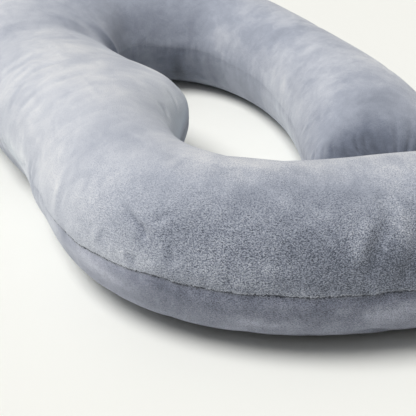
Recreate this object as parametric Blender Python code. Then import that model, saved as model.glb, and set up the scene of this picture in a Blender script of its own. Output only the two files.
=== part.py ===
"""Body pillow: one stuffed velour tube that curls into a head ring, runs on as a long curved back
and ends in a leg hook.  It lies flat on the floor, along X, with its sewn edge at mid height."""

import math

import bmesh
import bpy
import numpy as np

# ---- Driving dimensions, in metres -------------------------------------------------------------
SEAM_RISE = 0.515  # height of the sewn edge, as a share of the local height
SEAM_PINCH = 0.035  # how far the sewn edge stands out, as a share of the half width
PINCH_REACH = 0.30  # how far round the section the pinch fades out, in radians
TOP_ROUNDNESS = 2.05  # superellipse power of the crowned upper panel
FOOT_ROUNDNESS = 2.15  # power of the lower panel, squarer because the floor flattens it
FOOT_PRESS = 0.005  # depth by which the floor presses the lower panel flat
HEAD_END_CAP = 0.050  # length over which the head arm rounds off
LEG_END_CAP = 0.080  # length over which the leg hook rounds off

# Centre line on the floor, the tube's reach to its outer and inner sewn edge, and its height:
# a row for each bend.
STATIONS = (
    # x, y, outer, inner, height
    (0.222, -0.098, 0.089, 0.089, 0.158),  # end of the head arm, tucked behind the back
    (0.214, -0.025, 0.090, 0.090, 0.165),
    (0.202, 0.063, 0.086, 0.087, 0.163),
    (0.183, 0.139, 0.075, 0.080, 0.158),
    (0.154, 0.218, 0.065, 0.073, 0.151),  # slimmest, where the arm leaves the head bend
    (0.108, 0.302, 0.062, 0.069, 0.148),
    (0.036, 0.382, 0.075, 0.076, 0.152),
    (-0.084, 0.430, 0.110, 0.098, 0.161),  # broad top of the head bend
    (-0.214, 0.386, 0.135, 0.118, 0.168),
    (-0.262, 0.278, 0.116, 0.129, 0.166),
    (-0.229, 0.178, 0.098, 0.118, 0.165),
    (-0.184, 0.086, 0.097, 0.145, 0.173),  # neck rest, swelling inwards only
    (-0.154, 0.010, 0.088, 0.138, 0.182),
    (-0.119, -0.064, 0.090, 0.092, 0.184),
    (-0.090, -0.130, 0.096, 0.085, 0.184),
    (-0.048, -0.180, 0.098, 0.086, 0.184),  # outer turn from the ring into the back
    (0.006, -0.209, 0.100, 0.088, 0.184),
    (0.080, -0.226, 0.100, 0.091, 0.184),
    (0.145, -0.225, 0.100, 0.094, 0.185),
    (0.210, -0.215, 0.100, 0.097, 0.186),
    (0.340, -0.190, 0.101, 0.100, 0.186),
    (0.490, -0.145, 0.102, 0.102, 0.186),
    (0.640, -0.085, 0.102, 0.102, 0.186),
    (0.780, -0.005, 0.102, 0.102, 0.186),
    (0.895, 0.095, 0.101, 0.101, 0.184),
    (0.948, 0.205, 0.099, 0.099, 0.181),
    (0.925, 0.310, 0.096, 0.096, 0.177),
    (0.845, 0.370, 0.093, 0.093, 0.172),
    (0.765, 0.380, 0.090, 0.090, 0.168),  # end of the leg hook
)

# Broad soft folds where the tube bends.  Place is the distance along the tube, turn the angle
# round it in degrees: 0 at the outer sewn edge, 90 on top, 180 at the inner sewn edge.
FOLDS = (
    # from place, from turn, to place, to turn, half width, depth
    (0.925, 190, 0.965, 135, 0.024, 0.007),  # crotch between the head arm and the neck rest
    (0.965, 135, 0.990, 70, 0.032, 0.008),  # across the crown, from the crotch outwards
    (0.735, 115, 0.725, 170, 0.030, 0.004),
    (1.270, 130, 1.280, 200, 0.028, 0.005),  # inner turn under the neck rest
    (1.700, 25, 1.670, 60, 0.026, 0.004),  # slack in the front of the back
    (2.560, 115, 2.570, 190, 0.034, 0.006),  # inner turn of the leg hook
    (2.670, 115, 2.660, 190, 0.034, 0.008),
)

RING_STEP = 0.018  # spacing of the lofted sections along the tube
CAP_RINGS = 6  # sections in each rounded end
HALF_POINTS = 14  # points of a section from one sewn edge over the top to the other


def natural_spline(knots, values, at):
    """Natural cubic spline through values at the knots, read at the given places."""
    n = len(knots)
    gap = np.diff(knots)
    system = np.eye(n)
    right = np.zeros((n,) + values.shape[1:])
    for i in range(1, n - 1):
        system[i, i - 1 : i + 2] = gap[i - 1], 2 * (gap[i - 1] + gap[i]), gap[i]
        right[i] = 6 * ((values[i + 1] - values[i]) / gap[i] - (values[i] - values[i - 1]) / gap[i - 1])
    bend = np.linalg.solve(system, right)
    i = np.clip(np.searchsorted(knots, at) - 1, 0, n - 2)
    before, after = (knots[i + 1] - at)[:, None], (at - knots[i])[:, None]
    h = gap[i][:, None]
    return (
        (bend[i] * before**3 + bend[i + 1] * after**3) / (6 * h)
        + (values[i] / h - bend[i] * h / 6) * before
        + (values[i + 1] / h - bend[i + 1] * h / 6) * after
    )


def places_along(total):
    """Where the sections stand: even steps along the tube, closer together in the rounded ends."""
    turn = [1 - math.cos(math.pi / 2 * i / CAP_RINGS) for i in range(1, CAP_RINGS + 1)]
    head = [HEAD_END_CAP * t for t in turn]
    leg = [total - LEG_END_CAP * t for t in reversed(turn)]
    steps = round((leg[0] - head[-1]) / RING_STEP)
    middle = [head[-1] + (leg[0] - head[-1]) * i / steps for i in range(1, steps)]
    return np.array(head + middle + leg)


def rounding(place, total):
    """Share of the full width left at a place: a half ellipse at each end, and 1 between."""
    left = min(place / HEAD_END_CAP, (total - place) / LEG_END_CAP, 1.0)
    return math.sqrt(max(0.0, 1 - (1 - left) ** 2))


def fold_depth(place, turn, half):
    """How deep the folds draw the cloth in at one point of the tube."""
    depth = 0.0
    for place_a, turn_a, place_b, turn_b, width, deep in FOLDS:
        ax, ay = place_a - place, math.radians((turn_a - turn + 180) % 360 - 180) * half
        bx = place_b - place_a
        by = math.radians(turn_b - turn_a) * half
        share = min(1.0, max(0.0, -(ax * bx + ay * by) / (bx * bx + by * by)))
        gap = math.hypot(ax + share * bx, ay + share * by)
        depth += deep * math.exp(-((gap / width) ** 2))
    return depth


def section(place, outer, inner, height):
    """Points (across, up) round one section, from the outer sewn edge over the top and back under."""
    seam = SEAM_RISE * height
    points = []
    for panel, rise, power in ((1, height - seam, TOP_ROUNDNESS), (-1, seam + FOOT_PRESS, FOOT_ROUNDNESS)):
        for i in range(HALF_POINTS):
            angle = math.pi * i / HALF_POINTS
            c, s = math.cos(angle), math.sin(angle)
            half = outer if c * panel > 0 else inner
            pinch = SEAM_PINCH * math.exp(-min(angle, math.pi - angle) / PINCH_REACH)
            across = math.copysign(abs(c) ** (2 / power) + pinch, c) * half
            up = panel * s ** (2 / power) * rise
            turn = math.degrees(angle) + (0 if panel == 1 else 180)
            keep = 1 - fold_depth(place, turn, half) / max(half, 0.06)
            points.append((across * panel * keep, max(seam + up * keep, 0.0)))
    return points


def rings():
    """The sections of the whole tube as rows of points, and its two end points."""
    table = np.array(STATIONS)
    knots = np.concatenate([[0.0], np.cumsum(np.hypot(*np.diff(table[:, :2], axis=0).T))])
    total = knots[-1]
    places = places_along(total)
    nudge = 1e-4
    line = natural_spline(knots, table, places)
    ahead = natural_spline(knots, table[:, :2], places + nudge)
    behind = natural_spline(knots, table[:, :2], places - nudge)
    rows = []
    for place, (x, y, outer, inner, height), step in zip(places, line, ahead - behind):
        along = step / np.hypot(*step)
        side = np.array([along[1], -along[0]])
        share = rounding(place, total)
        tall = height * (0.25 + 0.75 * share)
        sink = SEAM_RISE * (height - tall)
        row = []
        for across, up in section(place, share * outer, share * inner, tall):
            row.append((x + across * side[0], y + across * side[1], up + sink))
        rows.append(row)
    ends = [(table[i, 0], table[i, 1], SEAM_RISE * table[i, 4]) for i in (0, -1)]
    return rows, ends


def loft(bm, rows, ends):
    """Skins the sections with quads and closes each end on a point."""
    loops = [[bm.verts.new(p) for p in row] for row in rows]
    for a, b in zip(loops, loops[1:]):
        for i in range(len(a)):
            j = (i + 1) % len(a)
            bm.faces.new((a[i], a[j], b[j], b[i]))
    for loop, end in ((loops[0], ends[0]), (loops[-1], ends[1])):
        tip = bm.verts.new(end)
        for i in range(len(loop)):
            bm.faces.new((loop[i], loop[(i + 1) % len(loop)], tip))
    bmesh.ops.recalc_face_normals(bm, faces=bm.faces)


def centre_on_origin(bm):
    """Slides the whole tube across the floor until its box stands centred on the origin."""
    for axis in (0, 1):
        values = [v.co[axis] for v in bm.verts]
        middle = (min(values) + max(values)) / 2
        for v in bm.verts:
            v.co[axis] -= middle


def velour():
    material = bpy.data.materials.new("velour")
    material.use_nodes = True
    shader = material.node_tree.nodes["Principled BSDF"]
    shader.inputs["Base Color"].default_value = (0.33, 0.35, 0.40, 1)
    shader.inputs["Roughness"].default_value = 0.95
    shader.inputs["Metallic"].default_value = 0.0
    return material


def pillow():
    """The filled cover as one closed solid resting on its pressed underside."""
    bm = bmesh.new()
    loft(bm, *rings())
    centre_on_origin(bm)
    mesh = bpy.data.meshes.new("pillow")
    bm.to_mesh(mesh)
    bm.free()
    mesh.shade_smooth()
    mesh.materials.append(velour())
    body = bpy.data.objects.new("pillow", mesh)
    bpy.context.scene.collection.objects.link(body)


def main():
    for thing in list(bpy.data.objects):
        bpy.data.objects.remove(thing)
    pillow()


main()
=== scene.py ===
"""Body pillow: one stuffed velour tube, sewn from an upper and a lower panel, that lies on the floor.
Its head end curls into a ring, the long back runs on from it, and the foot end hooks round."""

import math

import bmesh
import bpy
import numpy as np
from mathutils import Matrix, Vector, noise


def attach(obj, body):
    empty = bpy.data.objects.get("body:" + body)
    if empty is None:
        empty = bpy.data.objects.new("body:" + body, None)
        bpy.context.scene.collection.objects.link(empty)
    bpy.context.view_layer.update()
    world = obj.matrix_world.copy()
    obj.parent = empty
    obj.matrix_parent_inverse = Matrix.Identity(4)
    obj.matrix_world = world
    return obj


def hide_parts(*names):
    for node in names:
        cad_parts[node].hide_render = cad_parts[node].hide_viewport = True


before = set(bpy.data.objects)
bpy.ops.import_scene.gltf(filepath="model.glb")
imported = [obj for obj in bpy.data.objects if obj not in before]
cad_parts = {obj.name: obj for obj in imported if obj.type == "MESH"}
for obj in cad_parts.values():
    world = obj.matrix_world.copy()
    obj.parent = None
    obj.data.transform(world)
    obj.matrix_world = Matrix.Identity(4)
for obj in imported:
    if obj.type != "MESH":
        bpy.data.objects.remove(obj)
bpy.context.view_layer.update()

# ---- The tube as it is cut, in metres ----------------------------------------------------------
# Centre line on the floor, reach to the outer and the inner sewn edge, and height.
TUBE = (
    (0.222, -0.098, 0.089, 0.089, 0.158),  # end of the head arm, tucked behind the back
    (0.214, -0.025, 0.090, 0.090, 0.165),
    (0.202, 0.063, 0.086, 0.087, 0.163),
    (0.183, 0.139, 0.075, 0.080, 0.158),
    (0.154, 0.218, 0.065, 0.073, 0.151),  # slimmest, where the arm leaves the head bend
    (0.108, 0.302, 0.062, 0.069, 0.148),
    (0.036, 0.382, 0.075, 0.076, 0.152),
    (-0.084, 0.430, 0.110, 0.098, 0.161),  # broad top of the head bend
    (-0.214, 0.386, 0.135, 0.118, 0.168),
    (-0.262, 0.278, 0.116, 0.129, 0.166),
    (-0.229, 0.178, 0.098, 0.118, 0.165),
    (-0.184, 0.086, 0.097, 0.145, 0.173),  # neck rest, swelling inwards only
    (-0.154, 0.010, 0.088, 0.138, 0.182),
    (-0.119, -0.064, 0.090, 0.092, 0.184),
    (-0.090, -0.130, 0.096, 0.085, 0.184),
    (-0.048, -0.180, 0.098, 0.086, 0.184),  # outer turn from the ring into the back
    (0.006, -0.209, 0.100, 0.088, 0.184),
    (0.080, -0.226, 0.100, 0.091, 0.184),
    (0.145, -0.225, 0.100, 0.094, 0.185),
    (0.210, -0.215, 0.100, 0.097, 0.186),
    (0.340, -0.190, 0.101, 0.100, 0.186),
    (0.490, -0.145, 0.102, 0.102, 0.186),
    (0.640, -0.085, 0.102, 0.102, 0.186),
    (0.780, -0.005, 0.102, 0.102, 0.186),
    (0.895, 0.095, 0.101, 0.101, 0.184),
    (0.948, 0.205, 0.099, 0.099, 0.181),
    (0.925, 0.310, 0.096, 0.096, 0.177),
    (0.845, 0.370, 0.093, 0.093, 0.172),
    (0.765, 0.380, 0.090, 0.090, 0.168),  # end of the leg hook
)
MIDDLE = (0.3334, 0.1107)  # the point of the cutting plan that lies over the frame's origin
SEAM_RISE = 0.515  # height of the sewn edge, as a share of the local height
HEAD_END_CAP = 0.050  # length over which the head arm rounds off
LEG_END_CAP = 0.080  # length over which the leg hook rounds off

# ---- Filling and sewing ------------------------------------------------------------------------
SLACK = 0.0020  # how much smaller the cover starts, because it swells when filled
SEAM_DRAW = 0.0015  # how far the thread draws the sewn edge in
MAX_SWELL = 0.012  # farthest that the filling may push the cloth
START_LUMPS = 0.0015  # unevenness of the cover before it is filled
SEAM_BAND = 0.0025  # cloth this close to the seam's height is held by the thread
FOOT_BAND = 0.004  # cloth below this height rests on the floor and stays there
FILL_FRAMES = 20
EVENING_ROUNDS = 90  # what is left of the swelling after so many rounds is its bulk
RING_END, BACK_START = 1.34, 1.50  # places between which the firm ring turns into the softer back
KEPT_RELIEF = (0.30, 1.00)  # share of the swelling's wrinkles that stays: on the ring, on the back
LOWER_RELIEF = 0.35  # share of those that stays on the lower panel
SEAM_VALLEY = (0.010, 0.0002, 0.0018)  # hollow along the seam: reach, depth above it and below it
SEAM_GROOVE = (0.0018, 0.0006, 0.0007)  # the stitched line itself
INNER_SEAM = 0.20  # how deep the inner seam lies, as a share of the outer one
RING_SEAM = ((1.24, 1.34), (0.35, 1.00))  # the same along the outer seam: round the ring, on the back
PUCKER_DEPTH, PUCKER_REACH, PUCKER_PITCH = 0.0012, 0.016, 95
ARM_PUCKERS = 0.45  # share of the puckers' depth on the inner side of the head arm
HEAD_ARM = 0.90  # place where the head arm ends
END_GATHERS = 26  # small pleats round each gathered end
GATHER_DEPTH = 0.0016
GATHER_LENGTHS = (0.060, 0.110)  # at the head arm's end, at the leg hook's end

# Where the outer sewn line sags, because the cover sits twisted.
SEAM_SAGS = (
    # how far, starts to sag, has sagged, starts to rise, has risen
    (0.0120, 1.080, 1.130, 1.200, 1.232),  # beside the neck rest
    (0.0030, 1.300, 1.340, 1.400, 1.475),  # in the outer turn
    (0.0016, 1.500, 1.512, 3.000, 3.100),  # all along the back
)
SEAM_WAVER, SEAM_SHIVER = 0.0012, 0.0007  # long and short waves of the outer sewn line
INNER_WAVER = 0.0014  # waves of the inner sewn line

# The lower panel is tucked under beside the neck rest and stands out just after it.
LOWER_PANEL = (
    # place, reach along, how far out
    (1.165, 0.040, -0.0065),
    (1.272, 0.034, 0.0060),
)
LOWER_PANEL_BAND = (0.022, 0.030)  # how far below the seam this is strongest, and how far it reaches

# Creases in the cover.  Place is the distance along the tube, turn the angle round it in degrees:
# 0 at the outer sewn edge, 90 on top, 180 at the inner sewn edge.
CREASES = (
    # (place, turn) from point to point, half width, depth; a depth below 0 stands up
    (((1.070, 40), (1.082, 59), (1.076, 73)), 0.0075, 0.0011),  # head end of the neck rest
    (((1.127, 40), (1.124, 66), (1.130, 92)), 0.0075, 0.0009),
    (((1.155, 26), (1.134, 56)), 0.0065, 0.0009),
    (((1.177, 30), (1.184, 60)), 0.0065, 0.0008),
    (((1.189, 60), (1.189, 100)), 0.0075, 0.0008),
    (((1.034, 94), (1.028, 118)), 0.0080, 0.0010),
    (((1.140, 168), (1.165, 164), (1.190, 162)), 0.0260, -0.0026),  # full inner end of the neck rest
    (((1.200, 140), (1.212, 150), (1.226, 158)), 0.0045, 0.0012),
    (((1.249, 135), (1.254, 141), (1.260, 147)), 0.0052, 0.0020),
    (((1.349, 40), (1.353, 24), (1.359, 5)), 0.0045, -0.0007),  # ridge that runs down to the seam
    (((1.358, 42), (1.361, 24), (1.367, 5)), 0.0050, 0.0008),
    (((1.383, 46), (1.391, 32)), 0.0040, 0.0008),
    (((1.409, 17), (1.411, 9)), 0.0035, -0.0014),
    (((1.415, 18), (1.418, 8)), 0.0030, 0.0014),
    (((1.428, 40), (1.436, 35), (1.443, 31), (1.450, 25)), 0.0034, 0.0030),
    (((1.446, 33), (1.448, 22)), 0.0034, 0.0022),
    (((1.452, 34), (1.462, 42), (1.470, 46)), 0.0040, 0.0012),
    (((1.441, 12), (1.443, 4)), 0.0036, 0.0028),
    (((1.471, 25), (1.475, 10)), 0.0036, 0.0018),
    (((1.521, 12), (1.524, 4)), 0.0036, 0.0014),
    (((0.130, 178), (0.126, 163), (0.114, 146)), 0.0045, -0.0006),  # gathered end of the head arm
    (((0.106, 178), (0.100, 170), (0.092, 158)), 0.0040, -0.0004),
    (((0.064, 172), (0.060, 162), (0.058, 150)), 0.0034, -0.0006),
    (((0.052, 171), (0.062, 160)), 0.0026, 0.0016),
    (((0.036, 159), (0.050, 150)), 0.0024, 0.0014),
    (((0.027, 152), (0.040, 144)), 0.0022, 0.0014),
    (((0.018, 142), (0.030, 136)), 0.0022, 0.0014),
    (((0.012, 133), (0.020, 129), (0.032, 123)), 0.0020, 0.0020),
    (((0.010, 125), (0.018, 121), (0.029, 116)), 0.0020, 0.0020),
    (((0.584, 186), (0.588, 206), (0.592, 226)), 0.0130, 0.0016),  # inner side of the head arm
    (((1.654, 50), (1.643, 38), (1.634, 24), (1.627, 9)), 0.0085, 0.0022),  # slack in the back's front
    (((1.640, 50), (1.629, 36), (1.619, 20)), 0.0080, -0.0016),
    (((1.680, 38), (1.674, 24), (1.670, 10)), 0.0090, 0.0024),
    (((1.628, 322), (1.645, 320), (1.672, 308)), 0.0060, 0.0020),  # under the back
    (((1.900, 66), (1.925, 48), (1.934, 26)), 0.0100, 0.0026),  # along the back
    (((2.120, 20), (2.140, 46), (2.130, 70)), 0.0100, 0.0024),
    (((2.318, 136), (2.332, 156), (2.336, 174)), 0.0140, 0.0012),  # inner side where the leg hook turns
    (((2.440, 126), (2.430, 150), (2.436, 176)), 0.0140, 0.0018),
    (((2.505, 138), (2.517, 158), (2.512, 178)), 0.0110, 0.0020),
    (((2.578, 128), (2.590, 152), (2.586, 176)), 0.0100, 0.0024),
)
# Soft fullness of the filling, or slack where it is below 0.
FULLNESS = (
    # place, turn, reach along, reach round, how far out
    (1.156, 146, 0.028, 0.026, 0.0034),  # inner end of the neck rest
    (1.072, 126, 0.045, 0.045, -0.0050),  # slack beside the crotch
)
CROTCH = (-0.480, 0.166, 0.122)  # where the head arm parts from the neck rest
CROTCH_REACH = 0.042  # the cloth is softened as far as this round it
CREASE_PAINTED_SHADE = 90  # painted shade: how much darker the pile is painted for each metre of a crease's depth
CREASE_LIPS, LIP_WIDTH = 0.35, 2.4  # cloth that a crease pushes up beside it

# Painted light and painted shade: the pile is painted lighter where the cover faces this way, darker
# away from it.
PAINTED_LIGHT_FACING = (-0.16, 0.87, -0.03)
PAINTED_LIGHT_CREST = ((-1.0, 0.35, 0.50, 1.0), (-1.0, 0.35, 0.38, -0.20))  # past the crest the painted light darkens again
LIT_SIDE = (-0.40, -0.18, 0.90)  # painted shade: pale pile that faces away from this lit side is tinted bluer
BRUSH_STRAY = 0.012  # how far the edges of the brushed patches wander
BACK_FROM = 1.40  # place from which the next two hold
SEAM_PAINTED_LIGHT = (0.16, 0.012, 0.014)  # painted light over the seam: how much, how far above it, reach
PAINTED_FOOT_SHADE = (1.3, 0.030)  # painted shade where the back meets the floor: how much, up to what height
ARM_PAINTED_FOOT_SHADE = (1.2, 0.016)  # the same painted shade on the head arm's bend
ARM_FOOT = ((0.38, 0.50, 0.75, 0.85), (0, 1, 1, 0))  # places between which that painted shade holds

# Colours of the velour, from shaded pile to pale brushed pile.
DARKEST, PALEST = (0.060, 0.070, 0.092), (0.893, 0.893, 0.902)
SHADES = (
    # where it stands between the darkest and the palest, colour
    (0.25, (0.158, 0.178, 0.230)),
    (0.60, (0.394, 0.422, 0.498)),
    (0.75, (0.582, 0.603, 0.663)),
    (0.88, (0.774, 0.780, 0.804)),
)
PAINTED_SHADE_TINT = (0.84, 0.92, 1.0)  # painted shade: multiplies pale pile that faces away from the lit side
LOWER_TINT = (0.975, 0.960, 1.0)  # multiplies the lower panel of the back
SEWN_LINE = (0.010, 0.015, 0.030)
TUFT_LEANS = (52, -38, 8)  # degrees by which the tufts lean from the tube's length

# How far the pile stands up: 0 is laid smooth, 1 is raised.
LAID_STAND = 0.14  # round the head ring
RAISED_FROM, RAISED_OVER = 1.36, 0.15  # place from which it rises, and the length over which it does
INNER_STAND = 0.44  # share of it away from the outer side
LOWER_STAND = 0.62  # share of it on the lower panel
STAND_LUMPS, LEAST_STAND = 0.10, 0.08  # unevenness of it, and the least there is

# Patches where the pile has been brushed the other way, mixed with patches of painted light and painted
# shade.
BRUSHED_AND_PAINTED_PATCHES = (
    # place, turn, reach along, reach round, lighter or darker
    (0.060, 125, 0.070, 0.100, -0.30),  # gathered end of the head arm
    (0.020, 120, 0.040, 0.080, -0.35),
    (0.050, 98, 0.050, 0.050, -0.24),
    (0.036, 150, 0.020, 0.020, -0.20),
    (0.018, 86, 0.020, 0.030, 0.25),
    (0.210, 150, 0.050, 0.030, -0.12),  # head arm
    (0.250, 56, 0.250, 0.022, 0.30),
    (0.115, 84, 0.040, 0.030, -0.09),
    (0.330, 158, 0.110, 0.032, 0.22),
    (0.270, 168, 0.070, 0.020, 0.26),
    (0.480, 160, 0.050, 0.030, 0.18),
    (0.345, 105, 0.035, 0.030, -0.14),
    (0.165, 100, 0.030, 0.030, -0.12),
    (0.500, 144, 0.040, 0.040, 0.34),
    (0.445, 138, 0.035, 0.035, 0.12),
    (0.610, 142, 0.080, 0.050, 0.22),
    (0.560, 147, 0.030, 0.040, -0.14),
    (0.500, 192, 0.030, 0.020, -0.22),
    (0.250, 190, 0.050, 0.020, 0.15),
    (0.210, 210, 0.080, 0.022, 0.40),  # inner side of the head bend
    (0.640, 172, 0.090, 0.014, 0.35),
    (0.600, 215, 0.050, 0.045, -0.35),
    (0.598, 222, 0.030, 0.030, -0.28),
    (0.520, 225, 0.090, 0.025, -0.30),
    (0.720, 150, 0.080, 0.050, 0.06),
    (0.780, 172, 0.050, 0.016, 0.34),
    (0.870, 145, 0.050, 0.050, 0.14),
    (0.919, 151, 0.014, 0.034, 0.32),
    (0.918, 130, 0.020, 0.030, 0.24),
    (0.720, 182, 0.050, 0.011, 0.42),
    (0.780, 148, 0.060, 0.050, 0.14),
    (0.912, 116, 0.040, 0.040, -0.08),
    (0.910, 77, 0.090, 0.080, 0.28),  # outer side of the head bend
    # painted light in the crotch valley
    (0.935, 146, 0.018, 0.036, 0.44),
    (1.075, 108, 0.045, 0.045, 0.24),  # neck rest
    (1.125, 48, 0.050, 0.045, -0.14),
    (1.205, 354, 0.025, 0.025, 0.14),
    (1.178, 128, 0.022, 0.020, 0.22),
    (1.240, 134, 0.022, 0.030, 0.24),
    (1.155, 352, 0.045, 0.028, 0.42),
    (1.174, 347, 0.042, 0.012, 0.42),
    (1.224, 0, 0.016, 0.014, 0.26),
    (1.165, 25, 0.110, 0.055, 0.40),
    (1.330, 24, 0.040, 0.030, 0.06),
    (1.130, 62, 0.120, 0.080, 0.14),
    (1.230, 85, 0.150, 0.070, 0.18),
    (1.210, 130, 0.050, 0.040, 0.14),
    # painted light on the end of the neck rest that turns from the lamps
    (1.228, 163, 0.055, 0.036, 1.05),
    (1.215, 146, 0.030, 0.030, 0.22),
    (1.205, 146, 0.045, 0.032, 0.18),
    (1.215, 156, 0.040, 0.036, 0.22),
    (1.240, 134, 0.060, 0.050, 0.12),
    (1.256, 141, 0.030, 0.030, 0.27),
    (1.256, 142, 0.008, 0.010, -0.22),
    (1.274, 149, 0.020, 0.022, 0.26),
    (1.140, 140, 0.030, 0.018, 0.24),
    (1.226, 163, 0.012, 0.010, -0.20),
    (1.250, 156, 0.045, 0.036, 0.72),
    (1.252, 110, 0.050, 0.050, 0.14),
    (1.335, 24, 0.050, 0.038, 0.32),  # outer turn
    (1.410, 38, 0.040, 0.040, 0.24),
    (1.390, 24, 0.016, 0.025, 0.16),
    (1.415, 8, 0.060, 0.022, 0.34),
    (1.397, 349, 0.055, 0.024, 0.58),
    (1.385, 50, 0.060, 0.060, 0.02),
    (1.400, 321, 0.050, 0.022, 0.20),
    (1.371, 352, 0.014, 0.010, -0.36),  # along the lower panel
    (1.412, 340, 0.022, 0.022, 0.34),
    (1.430, 352, 0.015, 0.010, -0.52),
    (1.470, 354, 0.020, 0.008, -0.34),
    (1.495, 340, 0.020, 0.012, 0.26),
    (1.618, 338, 0.020, 0.010, -0.22),
    (1.664, 2, 0.022, 0.020, -0.24),
    (1.455, 7, 0.010, 0.010, 0.14),  # blotches over the seam
    (1.465, 23, 0.010, 0.012, 0.16),
    (1.495, 18, 0.014, 0.018, 0.25),
    (1.545, 20, 0.010, 0.012, 0.30),
    (1.565, 10, 0.012, 0.014, -0.24),
    (1.574, 24, 0.014, 0.014, -0.30),
    (1.604, 9, 0.024, 0.010, -0.12),
    (1.572, 62, 0.030, 0.025, -0.10),
    (1.610, 22, 0.018, 0.010, -0.20),
    (1.515, 341, 0.100, 0.026, -0.24),
    (1.600, 346, 0.080, 0.018, -0.06),
    (1.604, 8, 0.030, 0.012, -0.18),
    (1.470, 30, 0.050, 0.035, -0.12),
    (1.630, 75, 0.028, 0.016, -0.26),
    (1.661, 46, 0.018, 0.018, 0.14),
    (1.636, 35, 0.014, 0.014, 0.16),
    (1.669, 33, 0.010, 0.010, 0.18),
    (1.636, 20, 0.008, 0.008, -0.18),
    (1.665, 101, 0.034, 0.020, -0.22),
    (1.540, 66, 0.045, 0.030, -0.22),
    (1.500, 42, 0.050, 0.030, -0.10),
    (1.590, 72, 0.040, 0.022, -0.14),
    (1.575, 42, 0.060, 0.045, -0.08),
    (1.500, 98, 0.080, 0.016, 0.12),
    (1.600, 103, 0.055, 0.014, 0.16),
    (1.564, 62, 0.012, 0.010, 0.24),
    (1.592, 52, 0.010, 0.012, 0.24),
    (1.566, 20, 0.016, 0.010, 0.22),
    (1.548, 334, 0.022, 0.012, 0.70),
    (1.620, 36, 0.010, 0.026, 0.20),  # front of the back
    (1.650, 22, 0.012, 0.012, 0.10),
    (1.670, 40, 0.012, 0.016, 0.30),
    (1.660, 72, 0.040, 0.035, 0.22),
    (1.650, 25, 0.018, 0.030, -0.28),
    (1.672, 20, 0.026, 0.030, -0.40),
    (1.650, 341, 0.035, 0.018, 0.70),
    (1.900, 60, 0.080, 0.050, 0.18),  # rest of the back and the leg hook
    (2.050, 40, 0.060, 0.050, -0.20),
    (2.300, 60, 0.090, 0.050, 0.20),
    (2.550, 80, 0.070, 0.060, -0.20),
    (2.800, 90, 0.060, 0.080, 0.18),
)


def natural_spline(knots, values, at):
    """Natural cubic spline through values at the knots, read at the given places."""
    n = len(knots)
    gap = np.diff(knots)
    system = np.eye(n)
    right = np.zeros((n,) + values.shape[1:])
    for i in range(1, n - 1):
        system[i, i - 1 : i + 2] = gap[i - 1], 2 * (gap[i - 1] + gap[i]), gap[i]
        right[i] = 6 * ((values[i + 1] - values[i]) / gap[i] - (values[i] - values[i - 1]) / gap[i - 1])
    bend = np.linalg.solve(system, right)
    i = np.clip(np.searchsorted(knots, at) - 1, 0, n - 2)
    before, after = (knots[i + 1] - at)[:, None], (at - knots[i])[:, None]
    h = gap[i][:, None]
    return (
        (bend[i] * before**3 + bend[i + 1] * after**3) / (6 * h)
        + (values[i] / h - bend[i] * h / 6) * before
        + (values[i + 1] / h - bend[i + 1] * h / 6) * after
    )


class Tube:
    """The tube's centre line in close steps, used to say where on the cover a point lies."""

    def __init__(self, step=0.005):
        table = np.array(TUBE)
        table[:, 0] -= MIDDLE[0]
        table[:, 1] -= MIDDLE[1]
        knots = np.concatenate([[0.0], np.cumsum(np.hypot(*np.diff(table[:, :2], axis=0).T))])
        self.length = knots[-1]
        self.place = np.linspace(0.0, self.length, round(self.length / step) + 1)
        line = natural_spline(knots, table, self.place)
        ahead = natural_spline(knots, table[:, :2], np.minimum(self.place + 1e-4, self.length))
        behind = natural_spline(knots, table[:, :2], np.maximum(self.place - 1e-4, 0.0))
        along = ahead - behind
        along /= np.hypot(*along.T)[:, None]
        self.centre, self.along = line[:, :2], along
        self.side = np.stack([along[:, 1], -along[:, 0]], axis=1)
        self.outer, self.inner, self.height = line[:, 2], line[:, 3], line[:, 4]

    def locate(self, points):
        """For each point: its place along the tube, its turn round it in degrees, the height of the
        sewn edge there, and the reach of the tube on its side."""
        found = []
        for start in range(0, len(points), 4000):
            part = points[start : start + 4000]
            apart = part[:, None, :2] - self.centre[None]
            lateral = (apart * self.side[None]).sum(axis=2)
            lengthwise = (apart * self.along[None]).sum(axis=2)
            reach = np.where(lateral > 0, self.outer, self.inner)
            i = np.argmin((lateral**2 + lengthwise**2) / reach**2, axis=1)
            row = np.arange(len(part))
            place = np.clip(self.place[i] + lengthwise[row, i], 0.0, self.length)
            found.append(np.stack([place, lateral[row, i], reach[row, i], self.height[i]], axis=1))
        place, lateral, reach, height = np.concatenate(found).T
        left = np.minimum(np.minimum(place / HEAD_END_CAP, (self.length - place) / LEG_END_CAP), 1.0)
        share = np.sqrt(np.clip(1 - (1 - left) ** 2, 0.02, 1.0))
        tall = height * (0.25 + 0.75 * share)
        seam = SEAM_RISE * height
        over = points[:, 2] - seam
        up = over / np.where(over > 0, tall * (1 - SEAM_RISE), tall * SEAM_RISE)
        turn = np.degrees(np.arctan2(up, lateral / (reach * share))) % 360
        return place, turn, seam, reach


def read_points(mesh):
    points = np.empty(len(mesh.vertices) * 3)
    mesh.vertices.foreach_get("co", points)
    return points.reshape(-1, 3)


def write_points(mesh, points):
    mesh.vertices.foreach_set("co", np.ascontiguousarray(points).ravel())
    mesh.update()


def read_normals(mesh):
    normals = np.empty(len(mesh.vertices) * 3)
    mesh.vertex_normals.foreach_get("vector", normals)
    return normals.reshape(-1, 3)


def write_attribute(mesh, name, values):
    """Keeps a number or a vector for each point of the mesh, for its material to read."""
    kind, field = ("FLOAT", "value") if values.ndim == 1 else ("FLOAT_VECTOR", "vector")
    written = mesh.attributes.new(name, kind, "POINT").data
    written.foreach_set(field, values.astype(np.float32).ravel())


def select_only(thing):
    bpy.ops.object.select_all(action="DESELECT")
    thing.select_set(True)
    bpy.context.view_layer.objects.active = thing


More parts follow.
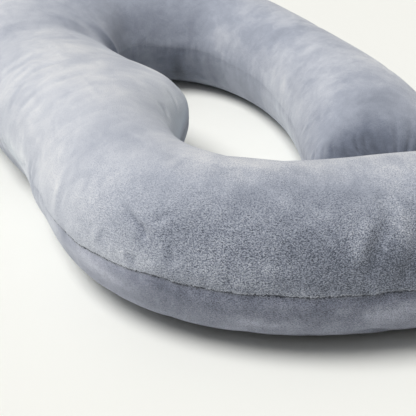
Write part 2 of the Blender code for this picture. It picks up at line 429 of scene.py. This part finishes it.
def subdivide(thing, levels):
    select_only(thing)
    finer = thing.modifiers.new("Finer", "SUBSURF")
    finer.levels = finer.render_levels = levels
    bpy.ops.object.modifier_apply(modifier=finer.name)


def cover_copy(node):
    """A copy of the solid's skin, welded and turned back into the strips it was lofted from."""
    cover = node.copy()
    cover.data = node.data.copy()
    cover.parent = None
    cover.name = cover.data.name = "velour_cover"
    bpy.context.scene.collection.objects.link(cover)
    cover.matrix_world = node.matrix_world
    bm = bmesh.new()
    bm.from_mesh(cover.data)
    bmesh.ops.remove_doubles(bm, verts=bm.verts, dist=1e-5)
    bmesh.ops.join_triangles(
        bm, faces=bm.faces, angle_face_threshold=math.pi, angle_shape_threshold=math.pi
    )
    bm.to_mesh(cover.data)
    bm.free()
    return cover


def smooth_lumps(points, size, seed):
    """Soft, even unevenness between -1 and 1, as of loose filling, for lumps of the given size."""
    shift = Vector((seed * 7.31, seed * 3.17, seed * 5.53))
    return np.array([noise.noise(Vector(p) / size + shift) for p in points])


def fill_cover(cover, tube):
    """Fills the cover: its sewn edge is drawn in and held, its foot stays flat on the floor, and the
    cloth between swells until it is as far out as the filling may push it."""
    points = read_points(cover.data)
    place, turn, seam, reach = tube.locate(points)
    normals = read_normals(cover.data)
    at_side = np.abs(np.cos(np.radians(turn))) > 0.95
    on_seam = (np.abs(points[:, 2] - seam) < SEAM_BAND) & at_side
    foot = points[:, 2] < FOOT_BAND
    inward = np.where(on_seam, SEAM_DRAW, SLACK)
    start = points - normals * inward[:, None]
    start += normals * (START_LUMPS * smooth_lumps(points, 0.06, 1) * ~on_seam)[:, None]
    start[:, 2] = np.where(foot, points[:, 2], start[:, 2])
    write_points(cover.data, start)
    held = cover.vertex_groups.new(name="held")
    held.add(np.flatnonzero(on_seam | foot).tolist(), 1.0, "REPLACE")
    cloth = cover.modifiers.new("Cloth", "CLOTH")
    settings = cloth.settings
    settings.quality = 5
    settings.mass = 0.3
    settings.tension_stiffness = settings.compression_stiffness = 15
    settings.shear_stiffness = 5
    settings.bending_stiffness = 4.0
    settings.shrink_min = settings.shrink_max = -0.006
    settings.use_pressure = True
    settings.uniform_pressure_force = 4.0
    settings.vertex_group_mass = "held"
    settings.effector_weights.gravity = 0
    cloth.collision_settings.use_collision = False
    cloth.point_cache.frame_start, cloth.point_cache.frame_end = 1, FILL_FRAMES
    for step in range(1, FILL_FRAMES + 1):
        bpy.context.scene.frame_set(step)
    filled = cover.evaluated_get(bpy.context.evaluated_depsgraph_get())
    swollen = read_points(filled.to_mesh())
    cover.modifiers.remove(cloth)
    bpy.context.scene.frame_set(1)
    # The cover was cut to the right size, so only the wrinkles of the swelling stay, not its bulk.
    move = ((swollen - points) * normals).sum(axis=1)
    move = np.clip(move, -MAX_SWELL, MAX_SWELL)
    wrinkles = move - evened_out(move, cover.data, EVENING_ROUNDS)
    kept = np.interp(place, (RING_END, BACK_START), KEPT_RELIEF)
    kept *= np.where(points[:, 2] < seam, LOWER_RELIEF, 1.0)
    write_points(cover.data, points + normals * (kept * wrinkles)[:, None])


def evened_out(values, mesh, rounds):
    """The values with each one averaged with its neighbours along the mesh, so many times."""
    ends = np.empty(len(mesh.edges) * 2, dtype=np.int32)
    mesh.edges.foreach_get("vertices", ends)
    a, b = ends[0::2], ends[1::2]
    count = np.bincount(a, minlength=len(values)) + np.bincount(b, minlength=len(values))
    for _ in range(rounds):
        total = np.bincount(a, values[b], len(values)) + np.bincount(b, values[a], len(values))
        values = 0.5 * values + 0.5 * total / count
    return values


def crease_reach(place, turn, reach, path, width):
    """How much each point of the cover feels a crease: 1 in its middle, 0 well away from it."""
    felt = np.zeros(len(place))
    near = (place > min(p for p, _ in path) - 5 * width) & (place < max(p for p, _ in path) + 5 * width)
    at, round_, half = place[near], turn[near], reach[near]
    closest = np.full(len(at), 1.0)
    length = np.zeros(len(at))
    for k, ((pa, ta), (pb, tb)) in enumerate(zip(path, path[1:])):
        ax, ay = pa - at, np.radians((ta - round_ + 180) % 360 - 180) * half
        bx, by = pb - pa, np.radians(tb - ta) * half
        share = np.clip(-(ax * bx + ay * by) / (bx * bx + by * by), 0.0, 1.0)
        gap = np.hypot(ax + share * bx, ay + share * by)
        length = np.where(gap < closest, (k + share) / (len(path) - 1), length)
        closest = np.minimum(gap, closest)
    felt[near] = np.exp(-((closest / width) ** 2)) * np.sin(np.pi * np.clip(length, 0.04, 0.96)) ** 0.7
    return felt


def raised_pile(points, place, turn, above):
    """How far the pile stands up: laid smooth round the head ring, raised from the outer turn on."""
    stand = LAID_STAND + (1 - LAID_STAND) * np.clip((place - RAISED_FROM) / RAISED_OVER, 0.0, 1.0)
    outward = np.clip((np.cos(np.radians(turn)) - 0.35) / 0.50, 0.0, 1.0)
    side = INNER_STAND + (1 - INNER_STAND) * outward
    side *= np.where(above < 0, LOWER_STAND, 1.0)
    return np.clip(stand * side + STAND_LUMPS * smooth_lumps(points, 0.05, 5), LEAST_STAND, 1.0)


def seam_drift(place, turn):
    """How far the sewn line wanders up or down from mid height."""

    def step(a, b):
        t = np.clip((place - a) / (b - a), 0.0, 1.0)
        return t * t * (3 - 2 * t)

    drift = SEAM_WAVER * np.sin(place * 41) * np.sin(place * 17 + 1.3)
    drift += SEAM_SHIVER * np.sin(place * 130)
    for sag, down_from, down_to, up_from, up_to in SEAM_SAGS:
        drift -= sag * step(down_from, down_to) * (1 - step(up_from, up_to))
    outer = np.cos(np.radians(turn)) > 0
    return np.where(outer, drift, INNER_WAVER * np.sin(place * 37 + 0.7))


def patch_reach(place, turn, reach, at, round_, along, across, stray=0.0):
    """How much each point of the cover feels an oval patch: 1 in its middle, 0 well away from it."""
    a = (place - at + stray) / along
    b = (np.radians((turn - round_ + 180) % 360 - 180) * reach + stray) / across
    return np.exp(-(a * a + b * b))


def brushed_pile_and_painted_light(points, place, turn, reach, above):
    """How much lighter or darker each point of the cover is for the way its pile was brushed, with
    painted light and painted shade: patches, a painted light band over the seam and painted shade at
    the foot.
    """
    stray = smooth_lumps(points, 0.045, 11) * BRUSH_STRAY
    total = np.zeros(len(points))
    # Brushed patches of pile, mixed with patches of painted light and painted shade.
    for at, round_, along, across, amount in BRUSHED_AND_PAINTED_PATCHES:
        total += amount * patch_reach(place, turn, reach, at, round_, along, across, stray)
    # Painted light in a band just over the seam.
    much, middle, wide = SEAM_PAINTED_LIGHT
    over_seam = np.exp(-(((above - middle) / wide) ** 2))
    total += much * over_seam * np.clip((place - BACK_FROM) / 0.05, 0.0, 1.0)
    # Painted shade where the cover meets the floor, along the back and on the head arm's bend.
    height = points[:, 2]
    much, top = PAINTED_FOOT_SHADE
    on_back = np.clip((place - BACK_FROM) / 0.08, 0.0, 1.0)
    total -= much * np.clip(1 - height / top, 0.0, 1.0) * on_back
    much, top = ARM_PAINTED_FOOT_SHADE
    on_bend = np.interp(place, *ARM_FOOT)
    return total - much * np.clip(1 - height / top, 0.0, 1.0) * on_bend


def soften_crotch(values, mesh, by_crotch, rounds):
    """The values with those round the crotch evened out."""
    return values + by_crotch * (evened_out(values, mesh, rounds) - values)


def gather_ends(tube, place, angle):
    """How deep the pleats lie that run in to the closed tip of each gathered end."""
    depth = np.zeros(len(place))
    for tip, length in zip((place, tube.length - place), GATHER_LENGTHS):
        fade = np.clip(1 - tip / length, 0.0, 1.0) ** 1.3 * np.clip(tip / 0.006, 0.0, 1.0)
        round_ = zip(np.cos(angle) * 2.2, np.sin(angle) * 2.2, tip * 9)
        wander = np.array([noise.noise(Vector(p)) for p in round_])
        pleat = np.sin(angle * END_GATHERS + 5.0 * wander)
        depth += GATHER_DEPTH * fade * np.maximum(pleat, -0.2)
    return depth


def sew_and_crease(cover, tube):
    """Presses the seam, its puckers, the gathered ends and the creases into the filled cover, and keeps
    for its material the painted light and painted shade of the pile, how far the pile stands and where
    the seam lies.
    """
    points = read_points(cover.data)
    by_crotch = np.exp(-((points - np.array(CROTCH)) ** 2).sum(axis=1) / CROTCH_REACH**2)
    for axis in range(3):
        points[:, axis] = soften_crotch(points[:, axis], cover.data, by_crotch, 40)
    write_points(cover.data, points)
    normals = read_normals(cover.data)
    place, turn, seam, reach = tube.locate(points)
    angle = np.radians(turn)
    above = points[:, 2] - seam - seam_drift(place, turn)
    beside = np.abs(np.cos(angle)) > 0.6
    off_seam = np.where(beside, np.abs(above), 1.0)
    push = np.zeros(len(points))
    outer = np.cos(angle) > 0
    tight = np.where(outer, np.interp(place, *RING_SEAM), INNER_SEAM)
    for width, depth, lower in (SEAM_VALLEY, SEAM_GROOVE):
        push -= tight * np.where(above < 0, lower, depth) * np.exp(-((off_seam / width) ** 2))
    # Puckers: short ripples that stand square to the seam and die out away from it.
    edge = np.where(outer, 0.0, 37.0)
    spots = zip(place * PUCKER_PITCH, edge, above * 14)
    ripple = np.array([noise.noise(Vector(p)) for p in spots])
    deep = PUCKER_DEPTH * np.where((np.cos(angle) < 0) & (place < HEAD_ARM), ARM_PUCKERS, 1.0)
    push += deep * ripple * np.exp(-((off_seam / PUCKER_REACH) ** 2))
    push -= gather_ends(tube, place, angle)
    drop, band = LOWER_PANEL_BAND
    low = np.exp(-(((above + drop) / band) ** 2)) * outer
    for at, along, out in LOWER_PANEL:
        push += out * low * np.exp(-(((place - at) / along) ** 2))
    for at, round_, along, across, out in FULLNESS:
        push += out * patch_reach(place, turn, reach, at, round_, along, across)
    # Painted shade in each crease, and painted light where one stands up.
    shade = np.zeros(len(points))
    for path, width, depth in CREASES:
        felt = crease_reach(place, turn, reach, path, width)
        push -= depth * felt
        shade -= CREASE_PAINTED_SHADE * depth * felt
        lips = crease_reach(place, turn, reach, path, LIP_WIDTH * width) - felt
        push += CREASE_LIPS * depth * lips
    points += normals * push[:, None]
    points[:, 2] = np.maximum(points[:, 2], 0.0)
    write_points(cover.data, points)
    raised = raised_pile(points, place, turn, above)
    facing = read_normals(cover.data)
    # Painted shade: how far the cover faces away from the lit side.
    away = np.clip(0.8 - facing @ np.array(LIT_SIDE), 0.0, 1.0)
    # Painted light and painted shade by which way the cover faces, with the brushed patches and the
    # creases' painted shade.
    facing[:, 1] = np.interp(facing[:, 1], *PAINTED_LIGHT_CREST)
    pile = facing @ np.array(PAINTED_LIGHT_FACING) + brushed_pile_and_painted_light(points, place, turn, reach, above) + shade
    pile = soften_crotch(pile, cover.data, by_crotch, 80)
    write_attribute(cover.data, "above_seam", np.where(beside, above, 1.0))
    write_attribute(cover.data, "pile", pile)
    write_attribute(cover.data, "raised", raised)
    write_attribute(cover.data, "away", away)
    # Cloth coordinates: along the tube and round it, and along the tube and laid flat.
    wrap = np.stack([place, np.cos(angle) * 0.09, np.sin(angle) * 0.09], axis=1)
    flat = np.radians((turn + 90) % 360 - 90) * 0.10
    lay = np.stack([place, flat, np.zeros(len(place))], axis=1)
    write_attribute(cover.data, "wrap", wrap)
    write_attribute(cover.data, "lay", lay)


def build():
    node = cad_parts["pillow"]
    tube = Tube()
    cover = cover_copy(node)
    subdivide(cover, 2)
    fill_cover(cover, tube)
    subdivide(cover, 1)
    sew_and_crease(cover, tube)
    cover.data.materials.clear()
    cover.data.materials.append(velour())
    cover.data.shade_smooth()
    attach(cover, "root")
    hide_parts("pillow")
    return cover


class Nodes:
    """Adds nodes to a material and joins them, a line for each."""

    def __init__(self, tree):
        self.tree = tree

    def add(self, kind, **settings):
        node = self.tree.nodes.new(kind)
        for name, value in settings.items():
            if name in node.inputs.keys() or isinstance(value, bpy.types.NodeSocket):
                self.feed(node.inputs[name], value)
            elif hasattr(node, name):
                setattr(node, name, value)
            else:
                self.feed(node.inputs[name.replace("_", " ")], value)
        return node

    def feed(self, socket, value):
        if isinstance(value, bpy.types.NodeSocket):
            self.tree.links.new(value, socket)
        else:
            socket.default_value = value

    def math(self, operation, a, b=0.0, c=0.0):
        node = self.tree.nodes.new("ShaderNodeMath")
        node.operation = operation
        for socket, value in zip(node.inputs, (a, b, c)):
            self.feed(socket, value)
        return node.outputs[0]

    def blend(self, share, a, b):
        node = self.tree.nodes.new("ShaderNodeMix")
        for name, v in (("Factor", share), ("A", a), ("B", b)):
            self.feed(node.inputs[name], v)
        return node.outputs["Result"]

    def tint(self, base, share, colour, kind="MIX"):
        """The base colour mixed with, or multiplied by, another one."""
        node = self.add("ShaderNodeMix", data_type="RGBA", blend_type=kind)
        node.inputs["B"].default_value = (*colour, 1)
        self.tree.links.new(share, node.inputs["Factor"])
        self.tree.links.new(base, node.inputs["A"])
        return node.outputs["Result"]

    def attribute(self, name, kind="Fac"):
        return self.add("ShaderNodeAttribute", attribute_name=name).outputs[kind]

    def ramp(self, value, low, high, to_low=0.0, to_high=1.0):
        node = self.tree.nodes.new("ShaderNodeMapRange")
        node.interpolation_type = "SMOOTHSTEP"
        names = ("Value", "From Min", "From Max", "To Min", "To Max")
        for name, v in zip(names, (value, low, high, to_low, to_high)):
            self.feed(node.inputs[name], v)
        return node.outputs[0]

    def noise(self, vector, scale, detail=2.0, roughness=0.5, distortion=0.0):
        node = self.tree.nodes.new("ShaderNodeTexNoise")
        names = ("Vector", "Scale", "Detail", "Roughness", "Distortion")
        for name, v in zip(names, (vector, scale, detail, roughness, distortion)):
            self.feed(node.inputs[name], v)
        return node.outputs["Fac"]

    def stretched(self, vector, scale, turned=0.0):
        node = self.tree.nodes.new("ShaderNodeMapping")
        node.vector_type = "TEXTURE"
        self.feed(node.inputs["Vector"], vector)
        node.inputs["Rotation"].default_value = (0.0, 0.0, math.radians(turned))
        node.inputs["Scale"].default_value = [1.0 / s for s in scale]
        return node.outputs[0]


def velour():
    """Grey-blue short pile: brushed patches, streaks of laid pile, fine grain, a stitched line, and the
    painted light and painted shade that the cover carries.
    """
    material = bpy.data.materials.new("grey_blue_velour")
    material.use_nodes = True
    tree = material.node_tree
    shader = tree.nodes["Principled BSDF"]
    n = Nodes(tree)
    here = tree.nodes.new("ShaderNodeTexCoord").outputs["Object"]
    wrap, lay = n.attribute("wrap", "Vector"), n.attribute("lay", "Vector")
    along = n.add("ShaderNodeSeparateXYZ", Vector=wrap).outputs["X"]
    above, away = n.attribute("above_seam"), n.attribute("away")
    laid, raised = n.attribute("pile"), n.attribute("raised")
    # 1 on the head arm and 0 past it; 1 on the lower panel from the outer turn on, 0 elsewhere.
    on_arm = n.ramp(along, 0.80, 1.00, 1.0, 0.0)
    lower = n.math("MULTIPLY", n.ramp(above, -0.004, 0.0, 1.0, 0.0), n.ramp(along, 1.33, 1.42))

    broad = n.noise(here, 9.0, 3.0, 0.5, 0.6)
    patch = n.noise(here, 30.0, 4.0, 0.6, 1.2)
    streak = n.noise(n.stretched(wrap, (46.0, 8.0, 8.0)), 1.0, 3.0, 0.5, 0.3)
    grain = n.noise(here, 720.0, 0.6, 0.5)
    mottle = n.noise(here, 72.0, 3.0, 0.6, 0.5)
    # Tufts: short strokes of pile that lean one way or the other from patch to patch.
    tufts = []
    for lean in TUFT_LEANS:
        strokes = n.stretched(lay, (540.0, 1300.0, 1.0), lean)
        tufts.append(n.noise(strokes, 1.0, 0.6, 0.5, 0.4))
    sway = n.noise(here, 34.0, 2.0)
    tuft = n.blend(n.ramp(sway, 0.52, 0.58), tufts[1], tufts[2])
    tuft = n.blend(n.ramp(sway, 0.40, 0.47), tufts[0], tuft)

    # Each adds to how light the pile looks, on a scale that the colours below are laid along.
    # The pile attribute carries painted light and painted shade as well as the brushed patches.
    light = n.math("MULTIPLY", laid, 0.95)
    light = n.math("ADD", light, n.ramp(broad, 0.30, 0.70, -0.12, 0.12))
    patches = n.ramp(raised, 0.15, 0.9, 0.06, 0.10)
    light = n.math("MULTIPLY_ADD", n.ramp(patch, 0.34, 0.66, -1.0, 1.0), patches, light)
    brushing = n.ramp(on_arm, 0.0, 1.0, 1.0, 0.55)
    brushing = n.math("MULTIPLY", n.ramp(above, -0.004, 0.0, 0.12, 0.06), brushing)
    light = n.math("MULTIPLY_ADD", n.ramp(streak, 0.28, 0.72, -1.0, 1.0), brushing, light)
    blotch = n.math("MULTIPLY_ADD", lower, 0.09, n.math("MULTIPLY", on_arm, 0.06))
    light = n.math("MULTIPLY_ADD", n.ramp(mottle, 0.34, 0.66, -1.0, 1.0), blotch, light)
    speck = n.ramp(tuft, 0.30, 0.60, -0.60, 0.38)
    speck = n.math("ADD", n.ramp(grain, 0.32, 0.60, -0.46, 0.26), speck)
    light = n.math("MULTIPLY_ADD", speck, raised, light)

    # The sewn line: stitches sunk in the pile, tufts that stand over it, and painted shade under it.
    wobble = n.math("MULTIPLY_ADD", n.noise(here, 320.0, 2.0, 0.6), 0.0080, -0.0040)
    risen = n.math("ADD", above, wobble)
    stitch = n.ramp(n.noise(here, 380.0, 2.0), 0.36, 0.60, 0.0004, 0.0013)
    line = n.ramp(n.math("DIVIDE", n.math("ABSOLUTE", risen), stitch), 0.6, 1.3)
    line = n.math("SUBTRACT", 1.0, line)
    line = n.math("MULTIPLY", line, n.ramp(along, 1.33, 1.375, 0.05, 0.90))
    # Painted shade just under the sewn line.
    painted_seam_shade = n.ramp(risen, -0.0006, 0.0006, 1.0, 0.0)
    painted_seam_shade = n.math("MULTIPLY", n.ramp(risen, -0.014, -0.001), painted_seam_shade)
    light = n.math("MULTIPLY_ADD", painted_seam_shade, -0.16, light)
    fringe = n.ramp(risen, 0.0016, 0.0040, 1.0, 0.0)
    fringe = n.math("MULTIPLY", n.ramp(risen, 0.0006, 0.0014), fringe)
    light = n.math("MULTIPLY_ADD", fringe, n.ramp(raised, 0.3, 0.7, 0.0, 0.36), light)
    tone = n.math("MULTIPLY_ADD", light, 0.425, 0.676)

    ramp = tree.nodes.new("ShaderNodeValToRGB")
    stops = ramp.color_ramp.elements
    stops[0].color, stops[1].color = (*DARKEST, 1), (*PALEST, 1)
    for at, shade in SHADES:
        stops.new(at).color = (*shade, 1)
    tree.links.new(tone, ramp.inputs["Fac"])
    # Painted shade: pale pile that faces away from the lit side is tinted bluer.
    shaded = n.math("MULTIPLY", away, n.ramp(tone, 0.60, 0.92))
    colour = n.tint(ramp.outputs["Color"], shaded, PAINTED_SHADE_TINT, "MULTIPLY")
    colour = n.tint(colour, lower, LOWER_TINT, "MULTIPLY")
    colour = n.tint(colour, line, SEWN_LINE)
    tree.links.new(colour, shader.inputs["Base Color"])

    pile = n.math("MULTIPLY", n.math("ADD", grain, tuft), n.ramp(raised, 0.0, 1.0, 0.3, 1.0))
    pile = n.math("ADD", pile, n.math("MULTIPLY", patch, 0.5))
    pile = n.math("SUBTRACT", pile, n.math("MULTIPLY", line, 0.9))
    bump = tree.nodes.new("ShaderNodeBump")
    bump.inputs["Strength"].default_value = 0.8
    bump.inputs["Distance"].default_value = 0.0016
    tree.links.new(pile, bump.inputs["Height"])
    tree.links.new(bump.outputs["Normal"], shader.inputs["Normal"])
    tree.links.new(n.ramp(grain, 0.3, 0.7, 0.98, 0.86), shader.inputs["Roughness"])

    shader.inputs["Specular IOR Level"].default_value = 0.15
    shader.inputs["Sheen Weight"].default_value = 0.3
    shader.inputs["Sheen Roughness"].default_value = 0.6
    shader.inputs["Sheen Tint"].default_value = (0.93, 0.95, 1.0, 1)
    return material


# ---- Studio ------------------------------------------------------------------------------------
FLOOR_SIZE = 60  # wide enough that its edge never shows
LIGHTS = (
    # name, way it shines, spread in degrees, strength
    ("overhead_light", (0.44, 0.18, -1.0), 30, 2.48),
    ("broad_light", (0.22, 0.06, -1.0), 118, 0.73),
)
LIGHT_COLOUR = (1.0, 1.0, 0.99)
AIR_COLOUR, AIR_STRENGTH = (1.0, 0.965, 0.91, 1), 0.07
CAMERA_TILT = 31.5  # degrees below the horizontal
CAMERA_DISTANCE = 1.50
SENSOR_WIDTH, FOCAL_LENGTH = 36.0, 99.5  # in millimetres


def floor():
    bpy.ops.object.select_all(action="DESELECT")
    bpy.ops.mesh.primitive_plane_add(size=FLOOR_SIZE, location=(0, 0, 0))
    sheet = bpy.context.object
    sheet.name = "studio_floor"
    material = bpy.data.materials.new("pale_floor")
    material.use_nodes = True
    shader = material.node_tree.nodes["Principled BSDF"]
    shader.inputs["Base Color"].default_value = (0.905, 0.905, 0.866, 1)
    shader.inputs["Roughness"].default_value = 0.8
    shader.inputs["Specular IOR Level"].default_value = 0.1
    sheet.data.materials.append(material)


def soft_light(name, aim, spread, strength):
    """A broad, even softbox far enough away to light the whole floor alike; it shines along aim."""
    light = bpy.data.lights.new(name, "SUN")
    light.angle, light.energy, light.color = math.radians(spread), strength, LIGHT_COLOUR
    lit = bpy.data.objects.new(name, light)
    lit.rotation_euler = Vector(aim).to_track_quat("-Z", "Y").to_euler()
    bpy.context.scene.collection.objects.link(lit)


def studio():
    floor()
    world = bpy.data.worlds.new("studio_air")
    world.use_nodes = True
    air = world.node_tree.nodes["Background"]
    air.inputs["Color"].default_value = AIR_COLOUR
    air.inputs["Strength"].default_value = AIR_STRENGTH
    for row in LIGHTS:
        soft_light(*row)
    scene = bpy.context.scene
    scene.world = world
    scene.view_settings.view_transform = "Standard"


def camera():
    lens = bpy.data.cameras.new("camera")
    lens.sensor_width, lens.lens = SENSOR_WIDTH, FOCAL_LENGTH
    lens.dof.use_dof = False
    eye = bpy.data.objects.new("camera", lens)
    aim = Vector((-MIDDLE[0], -MIDDLE[1], 0.0))
    tilt = math.radians(CAMERA_TILT)
    eye.location = aim + CAMERA_DISTANCE * Vector((0.0, -math.cos(tilt), math.sin(tilt)))
    eye.rotation_euler = (math.radians(90) - tilt, 0.0, 0.0)
    bpy.context.scene.collection.objects.link(eye)
    bpy.context.scene.camera = eye


build()
studio()
camera()
